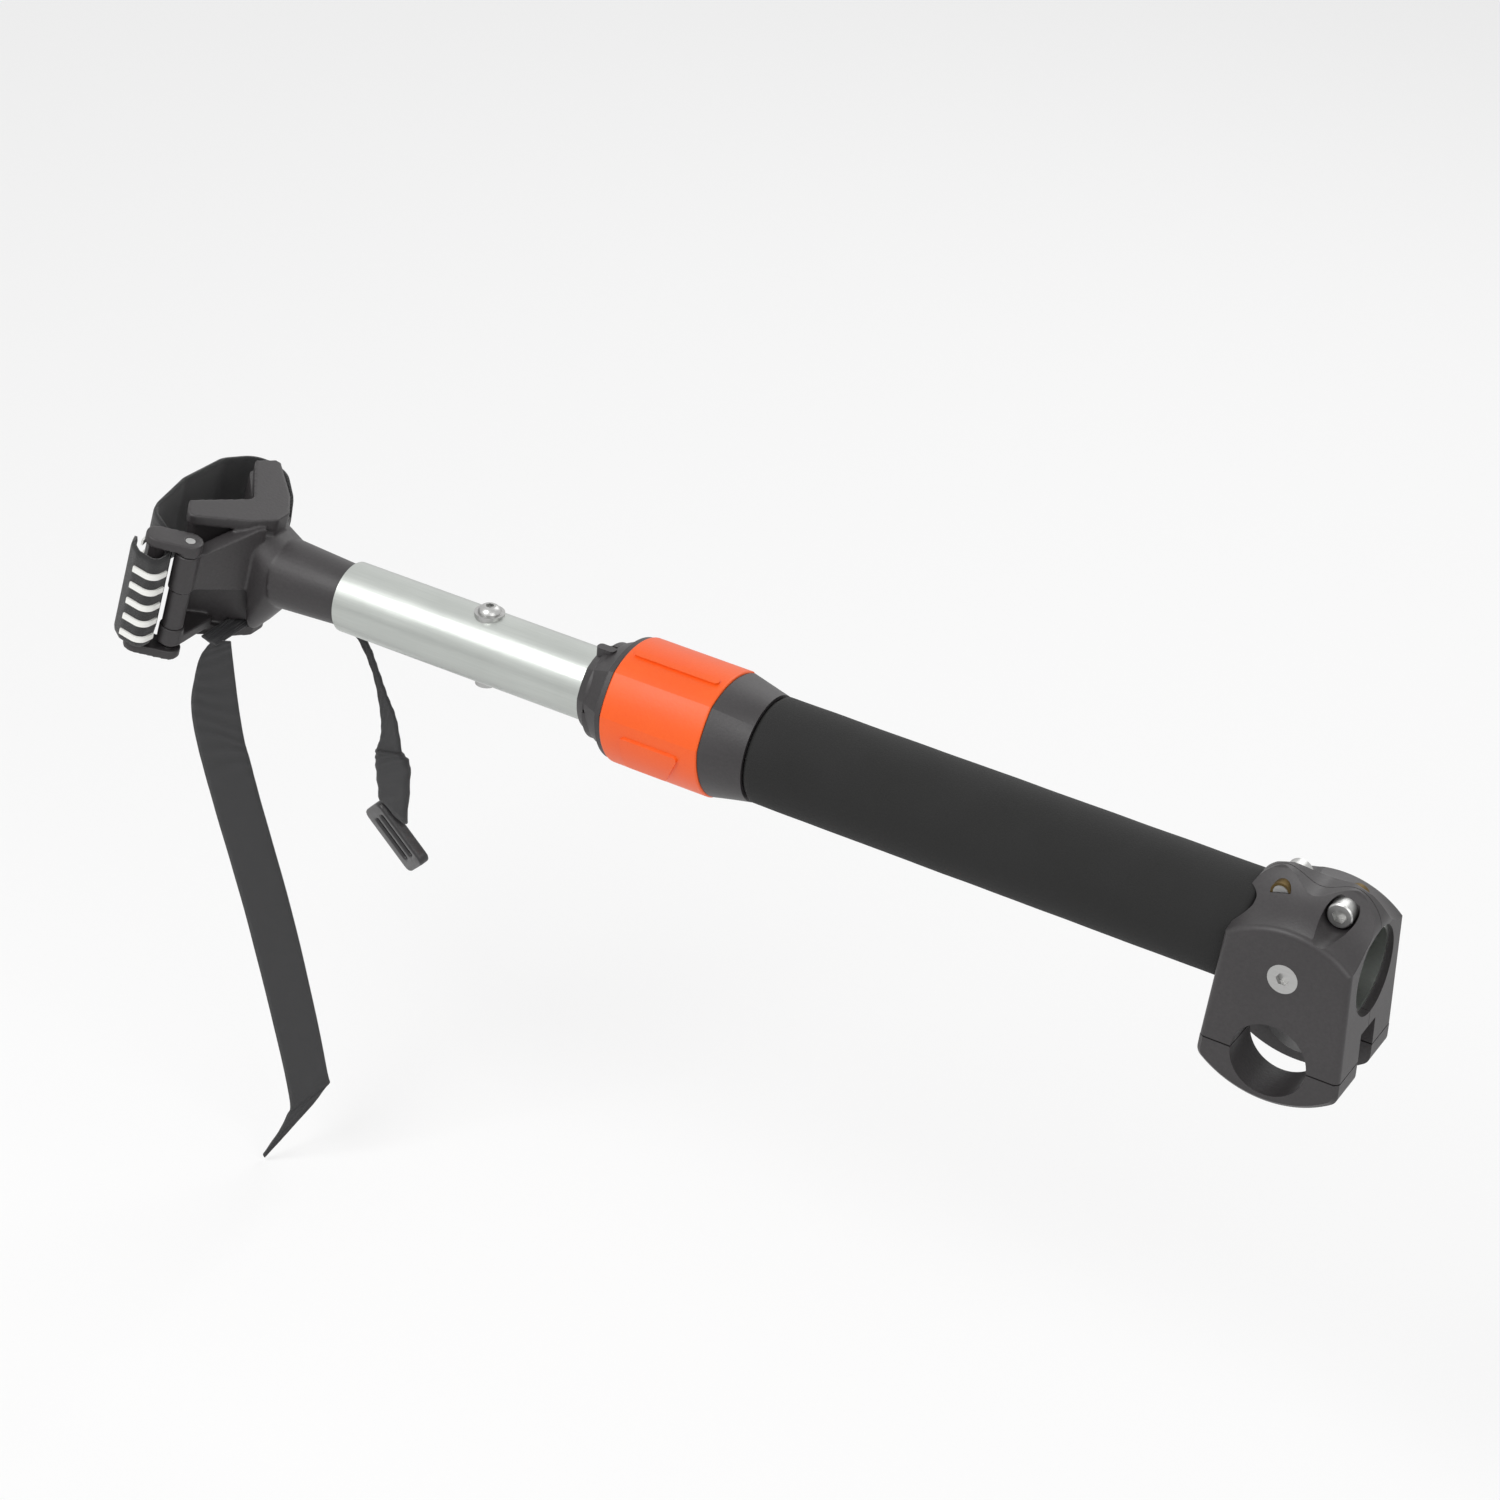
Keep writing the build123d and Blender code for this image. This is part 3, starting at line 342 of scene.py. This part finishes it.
FINISHES = {
    "black_nylon": Finish("black_nylon", linear(44, 42, 43), linear(68, 65, 66), rough=0.38),
    "black_acetal": Finish("black_acetal", linear(38, 37, 38), linear(58, 57, 58), rough=0.3),
    "orange_plastic": Finish(
        "orange_plastic", linear(236, 84, 14), linear(246, 106, 34), scale=1200.0, rough=0.34
    ),
    "satin_aluminium": Finish(
        "satin_aluminium", linear(178, 182, 178), linear(205, 208, 204),
        Texture.BRUSHED, 1500.0, 0.26, 0.08, 1.0,
    ),
    "foam_rubber": Finish(
        "foam_rubber", linear(20, 20, 20), linear(34, 34, 33), scale=1600.0, rough=0.78, depth=0.5
    ),
    "stainless_steel": Finish(
        "stainless_steel", linear(165, 165, 164), linear(195, 195, 193),
        Texture.BRUSHED, 1800.0, 0.25, 0.08, 1.0,
    ),
    "brass_insert": Finish(
        "brass_insert", linear(92, 78, 52), linear(120, 102, 70), rough=0.45, metallic=1.0
    ),
    "hook_and_loop": Finish(
        "hook_and_loop", linear(30, 30, 31), linear(58, 58, 58), Texture.WEAVE,
        1100.0, 0.8, 0.6, 0.0, 0.25,
    ),
    "white_silicone": Finish(
        "white_silicone", linear(240, 240, 236), linear(228, 228, 222), rough=0.45, depth=0.1
    ),
    "polyester_webbing": Finish(
        "polyester_webbing", linear(30, 30, 32), linear(66, 66, 68), Texture.WEAVE,
        850.0, 0.62, 0.8, 0.0, 0.2,
    ),
}


# ---- mesh helpers -------------------------------------------------------------------------------
def new_piece(name: str, mesh: bpy.types.Mesh, slot: str, body: str) -> bpy.types.Object:
    """Link a finished mesh as a piece, dress it and let it ride on a body.

    Args:
        name: The piece's name.
        mesh: Its finished mesh.
        slot: The material slot that it takes its finish from.
        body: The body that it moves with.

    Returns:
        The piece.
    """
    piece = bpy.data.objects.new(name, mesh)
    bpy.context.scene.collection.objects.link(piece)
    mesh.materials.clear()
    mesh.materials.append(FINISHES[slot].material())
    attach(piece, body)
    log.info("%s: %d faces", name, len(mesh.polygons))
    return piece


def applied(piece: bpy.types.Object) -> bpy.types.Mesh:
    """The mesh of an object with its modifiers worked in."""
    graph = bpy.context.evaluated_depsgraph_get()
    return bpy.data.meshes.new_from_object(piece.evaluated_get(graph), depsgraph=graph)


def softened(node: str, voxel: float, rounds: int) -> bpy.types.Mesh:
    """Copy of a solid's mesh with its edges rounded as a moulding's are.

    Args:
        node: The solid's name.
        voxel: Grid of the rounding, in metres.
        rounds: How often the surface is smoothed.

    Returns:
        The rounded mesh.
    """
    draft = bpy.data.objects.new("draft", frame["nodes"][node].data.copy())
    bpy.context.scene.collection.objects.link(draft)
    grid = draft.modifiers.new("grid", "REMESH")
    grid.mode = "VOXEL"
    grid.voxel_size = voxel
    smooth = draft.modifiers.new("smooth", "SMOOTH")
    smooth.factor = 0.5
    smooth.iterations = rounds
    thin = draft.modifiers.new("thin", "DECIMATE")
    thin.ratio = 0.3
    mesh = applied(draft)
    bpy.data.objects.remove(draft)
    mesh.polygons.foreach_set("use_smooth", [True] * len(mesh.polygons))
    return mesh


def smooth_line(points: list[Vector], steps: int) -> list[Vector]:
    """Catmull-Rom line through the points.

    Args:
        points: The points it passes through, in order.
        steps: How many stretches lie between two of them.

    Returns:
        The line's points.
    """
    ends = [2 * points[0] - points[1], *points, 2 * points[-1] - points[-2]]
    line = []
    for index in range(1, len(ends) - 2):
        a, b, c, d = ends[index - 1 : index + 3]
        for step in range(steps):
            t = step / steps
            line.append(
                0.5 * (2 * b + (c - a) * t + (2 * a - 5 * b + 4 * c - d) * t * t
                       + (3 * b - a - 3 * c + d) * t * t * t)
            )
    return [*line, points[-1].copy()]


def rounded_line(points: list[tuple], radius: float, steps: int = 8) -> list[Vector]:
    """Flat polyline whose corners are arcs of one radius.

    Args:
        points: The polyline's corners and ends.
        radius: The arcs' radius, in the unit of the points.
        steps: How many stretches an arc has.

    Returns:
        The line's points.
    """
    corners = [Vector(point) for point in points]
    line = [corners[0]]
    for before, corner, after in zip(corners, corners[1:], corners[2:]):
        inward, outward = (before - corner).normalized(), (after - corner).normalized()
        half = inward.angle(outward) / 2
        reach = radius / math.tan(half)
        centre = corner + (inward + outward).normalized() * (radius / math.sin(half))
        start, end = corner + inward * reach - centre, corner + outward * reach - centre
        for step in range(steps + 1):
            line.append(centre + start.slerp(end, step / steps).normalized() * radius)
    return [*line, corners[-1]]


def join_rings(built: bmesh.types.BMesh, rings: list[list], closed: bool = False) -> None:
    """Skin neighbouring rings of vertices with quads, then turn the faces outwards.

    Args:
        built: The mesh that holds the vertices.
        rings: Rings with as many vertices each.
        closed: Whether the last ring meets the first; otherwise both ends get a cap.
    """
    following_rings = rings[1:] + rings[:1] if closed else rings[1:]
    count = len(rings[0])
    for first, second in zip(rings, following_rings):
        for index in range(count):
            following = (index + 1) % count
            built.faces.new((first[index], first[following], second[following], second[index]))
    if not closed:
        built.faces.new(rings[0])
        built.faces.new(list(reversed(rings[-1])))
    bmesh.ops.recalc_face_normals(built, faces=built.faces)


# ---- ribbons of webbing -------------------------------------------------------------------------
RIBBON_COLUMNS = 12
SELVEDGE_SHARE = 0.35  # thickness left at the selvedges
RIPPLE_SHARE = 0.12  # height of the cloth's ripple, as a share of its thickness
RIPPLE_ALONG = 1.7
RIPPLE_ACROSS = 9.0


def ribbon(
    left: list[Vector], right: list[Vector], normal: Vector, thick: float
) -> bmesh.types.BMesh:
    """Closed ribbon between two lines, with thin selvedges and a slight ripple.

    Args:
        left: Points of one edge.
        right: Points of the other edge, as many.
        normal: Direction across the ribbon's thickness.
        thick: Its thickness in metres.

    Returns:
        The ribbon as a BMesh.
    """
    columns = RIBBON_COLUMNS
    built = bmesh.new()
    rings = []
    for row, (start, end) in enumerate(zip(left, right)):
        ring = []
        for side in (1, -1):
            for column in range(columns + 1):
                share = column / columns if side > 0 else 1 - column / columns
                edge = min(share, 1 - share) * columns
                height = thick / 2 * (SELVEDGE_SHARE if edge < 0.5 else 1.0)
                wave = math.sin(row * RIPPLE_ALONG + share * RIPPLE_ACROSS)
                ripple = RIPPLE_SHARE * thick * wave
                spot = start.lerp(end, share) + normal * (side * height + ripple)
                ring.append(built.verts.new(spot))
        rings.append(ring)
    join_rings(built, rings)
    return built


def to_mesh(name: str, parts: list[bmesh.types.BMesh]) -> bpy.types.Mesh:
    """Join several BMeshes into one smooth-shaded mesh.

    Args:
        name: The mesh's name.
        parts: The BMeshes, which are freed.

    Returns:
        The joined mesh.
    """
    whole = bmesh.new()
    for part in parts:
        scratch = bpy.data.meshes.new("scratch")
        part.to_mesh(scratch)
        whole.from_mesh(scratch)
        part.free()
        bpy.data.meshes.remove(scratch)
    mesh = bpy.data.meshes.new(name)
    whole.to_mesh(mesh)
    whole.free()
    mesh.polygons.foreach_set("use_smooth", [True] * len(mesh.polygons))
    return mesh


# ---- sub-assemblies -----------------------------------------------------------------------------
@dataclass
class DressedSolids:
    """Solids that keep their shape and get a better material."""

    kept_back: tuple[str, ...] = ()

    def build(self) -> None:
        """Give each solid the material of its slot."""
        for part in frame["record"]["subparts"]:
            node = part["node"]
            if node in self.kept_back:
                continue
            solid = frame["nodes"][node]
            look = FINISHES[part["material_slot"]].material()
            for slot in solid.material_slots:
                slot.material = look
            log.info("%s dressed as %s", node, part["material_slot"])


@dataclass
class FoamGrip:
    """Foam sleeve on the outer tube."""

    end_round: float = 1.6 * MM
    segments: int = 96
    rows: int = 120
    pore: float = 0.12 * MM
    wall: float = 3.9 * MM
    unevenness_scale: float = 60.0

    def build(self) -> None:
        """Turn the sleeve with soft ends and a slightly uneven skin."""
        low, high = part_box("foam_grip")
        centre = (low + high) / 2
        radius = (high.y - low.y) / 2 - self.pore
        bore = radius - self.wall
        built = bmesh.new()
        profile = []
        for row in range(self.rows + 1):
            x = low.x + (high.x - low.x) * row / self.rows
            edge = min(x - low.x, high.x - x)
            inset = max(0.0, self.end_round - edge)
            drop = self.end_round - math.sqrt(max(0.0, self.end_round**2 - inset**2))
            profile.append((x, radius - drop))
        profile += [(high.x, bore), (low.x, bore)]
        rings = []
        for x, r in profile:
            ring = []
            for index in range(self.segments):
                turn = 2 * math.pi * index / self.segments
                spot = Vector((x, centre.y + r * math.cos(turn), centre.z + r * math.sin(turn)))
                outward = Vector((0, math.cos(turn), math.sin(turn)))
                lift = self.pore * noise.noise(spot * self.unevenness_scale) if r > bore else 0.0
                ring.append(built.verts.new(spot + outward * lift))
            rings.append(ring)
        join_rings(built, rings, closed=True)
        piece = new_piece("grip_sleeve", to_mesh("grip_sleeve", [built]), "foam_rubber", "base")
        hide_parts("foam_grip")


@dataclass
class HeadMouldings:
    """Head, hinged frame and buckle as mouldings with rounded edges."""

    voxel: float = 0.55 * MM

    def build(self) -> None:
        """Replace each sharp solid by its rounded copy."""
        for node, body, rounds in (
            ("head_body", "telescope", 4),
            ("band_frame", "band_gate", 3),
            ("ladder_lock_buckle", "telescope", 2),
        ):
            slot = next(p["material_slot"] for p in frame["record"]["subparts"] if p["node"] == node)
            mesh = softened(node, self.voxel, rounds)
            piece = new_piece(node + "_moulding", mesh, slot, body)
            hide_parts(node)


@dataclass
class Band:
    """Hook-and-loop band round the seat post, and its end folded round the frame's bar."""

    saddle_x: float = -481.1 * MM
    pole_z: float = 36.0 * MM
    lean: float = math.radians(12.5)
    thick: float = 2.0 * MM
    rows: int = 22
    worn_edge_share: float = 0.55

    def head_point(self, u: float, v: float, level: float) -> Vector:
        """Point of the leaning head's own frame, given in millimetres."""
        u, v, level = u * MM, v * MM, level * MM
        sine, cosine = math.sin(self.lean), math.cos(self.lean)
        return Vector(
            (self.saddle_x + u * cosine + level * sine, v, self.pole_z - u * sine + level * cosine)
        )

    def strip(
        self, points: list[tuple], radius: float, bottom: float, top: float
    ) -> bmesh.types.BMesh:
        """Strip of fabric that stands along the post, in the head's own millimetres.

        Args:
            points: The path's corners (u, v).
            radius: Radius of its bends.
            bottom: Level of its lower edge.
            top: Level of its upper edge.

        Returns:
            The strip as a BMesh.
        """
        line = rounded_line(points, radius)
        rows = self.rows
        built = bmesh.new()
        sections = []
        for index, spot in enumerate(line):
            ahead = line[min(index + 1, len(line) - 1)] - line[max(index - 1, 0)]
            across = Vector((ahead.y, -ahead.x)).normalized()
            section = []
            for side in (1, -1):
                for row in range(rows + 1):
                    share = row / rows if side > 0 else 1 - row / rows
                    level = bottom + (top - bottom) * share
                    edge = self.worn_edge_share if row in (0, rows) else 1.0
                    at = spot + across * (side * edge * self.thick / MM / 2)
                    section.append(built.verts.new(self.head_point(at.x, at.y, level)))
            sections.append(section)
        join_rings(built, sections)
        return built

    def build(self) -> None:
        """The loop on the head and the fold on the hinged frame."""
        loop_points = [
            (9.6, 15.0), (2.0, 27.0), (-10.0, 39.3), (-24.5, 39.8), (-33.0, 25.0),
            (-34.3, 0.0), (-29.5, -27.0), (-12.5, -35.7),
        ]
        fold_points = [
            (-11.9, -36.2), (-7.2, -45.5), (-7.8, -52.0), (-16.5, -52.2), (-21.5, -49.0),
            (-23.5, -45.0),
        ]
        loop = to_mesh("loop_band", [self.strip(loop_points, 12.0, -22.9, 19.6)])
        piece = new_piece("loop_band", loop, "hook_and_loop", "telescope")
        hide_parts("band_loop")
        fold = to_mesh("fold_band", [self.strip(fold_points, 3.2, -27.4, 17.2)])
        piece = new_piece("fold_band", fold, "hook_and_loop", "band_gate")
        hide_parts("band_fold")


@dataclass
class SafetyStrap:
    """Webbing through the head: the long end hangs in front, the short end behind the pole."""

    saddle_x: float = -481.1 * MM
    long_x: float = -473.9 * MM
    long_y: float = -26.2 * MM
    short_y: float = 22.0 * MM
    turn: float = math.radians(36.0)
    thick: float = 1.6 * MM

    def long_end(self) -> bmesh.types.BMesh:
        """The free hanging end, widening where the webbing turns its face."""
        left = [
            (-2.0, 9.6), (-6.6, 2.0), (-9.0, -9.0), (-10.2, -21.0), (-8.0, -38.0), (-1.2, -67.6),
            (14.9, -132.6), (32.6, -217.0), (32.0, -235.0), (22.4, -255.0),
        ]
        right = [
            (6.0, 9.6), (6.9, 0.8), (9.4, -21.0), (12.0, -38.0), (14.5, -48.0), (19.1, -67.6),
            (35.1, -132.6), (49.5, -205.5), (48.5, -219.7), (23.4, -256.4),
        ]
        along = Vector((math.cos(self.turn), math.sin(self.turn), 0))
        normal = Vector((math.sin(self.turn), -math.cos(self.turn), 0))
        foot = Vector((self.long_x, self.long_y, 0))

        def place(points: list[tuple]) -> list[Vector]:
            """Points of the strap's plane as a smooth line in the frame."""
            spots = [foot + along * (s * MM) + Vector((0, 0, z * MM)) for s, z in points]
            return smooth_line(spots, 8)

        return ribbon(place(left), place(right), normal, self.thick)

    def short_end(self) -> list[bmesh.types.BMesh]:
        """The short end down to the buckle, and its doubled, sewn part."""
        left = [
            (4.1, 9.0), (21.1, 12.0), (35.1, 8.5), (44.7, 2.1), (52.7, -11.5), (56.8, -27.6),
            (57.7, -39.6), (55.5, -48.3),
        ]
        right = [
            (4.1, 13.5), (21.1, 16.5), (37.1, 12.5), (49.2, 2.3), (54.6, -7.9), (60.1, -19.6),
            (65.1, -29.5), (68.7, -45.4),
        ]
        sewn_left = [(55.5, -47.8), (55.7, -55.2), (57.9, -70.5)]
        sewn_right = [(68.7, -45.0), (72.9, -51.3), (72.3, -79.2)]

        def place(points: list[tuple]) -> list[Vector]:
            """Points beside the pole as a smooth line in the frame."""
            spots = [Vector((self.saddle_x + x * MM, self.short_y, z * MM)) for x, z in points]
            return smooth_line(spots, 8)

        normal = Vector((0, -1, 0))
        return [
            ribbon(place(left), place(right), normal, self.thick),
            ribbon(place(sewn_left), place(sewn_right), normal, 2 * self.thick),
        ]

    def folded_stretch(self) -> bmesh.types.BMesh:
        """The stretch that lies on the lower plate and passes through the head."""
        head = Band()
        left = [head.head_point(6.5, v, -24.3) for v in (-28.2, -10.0, 6.0, 22.0)]
        right = [head.head_point(14.5, v, -24.3) for v in (-28.2, -10.0, 6.0, 22.0)]
        normal = Vector((math.sin(head.lean), 0, math.cos(head.lean)))
        return ribbon(left, right, normal, self.thick * 0.9)

    def build(self) -> None:
        mesh = to_mesh("webbing", [self.long_end(), self.folded_stretch(), *self.short_end()])
        piece = new_piece("webbing", mesh, "polyester_webbing", "telescope")
        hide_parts("safety_strap")


def main() -> None:
    """Build the studio and the object's looks in order."""
    logging.basicConfig(level=logging.INFO)
    Studio().build()
    soft = (
        "foam_grip", "band_loop", "band_fold", "safety_strap", "head_body", "band_frame",
        "ladder_lock_buckle",
    )
    DressedSolids(kept_back=soft).build()
    FoamGrip().build()
    HeadMouldings().build()
    Band().build()
    SafetyStrap().build()
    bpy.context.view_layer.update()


if __name__ == "__main__":
    main()
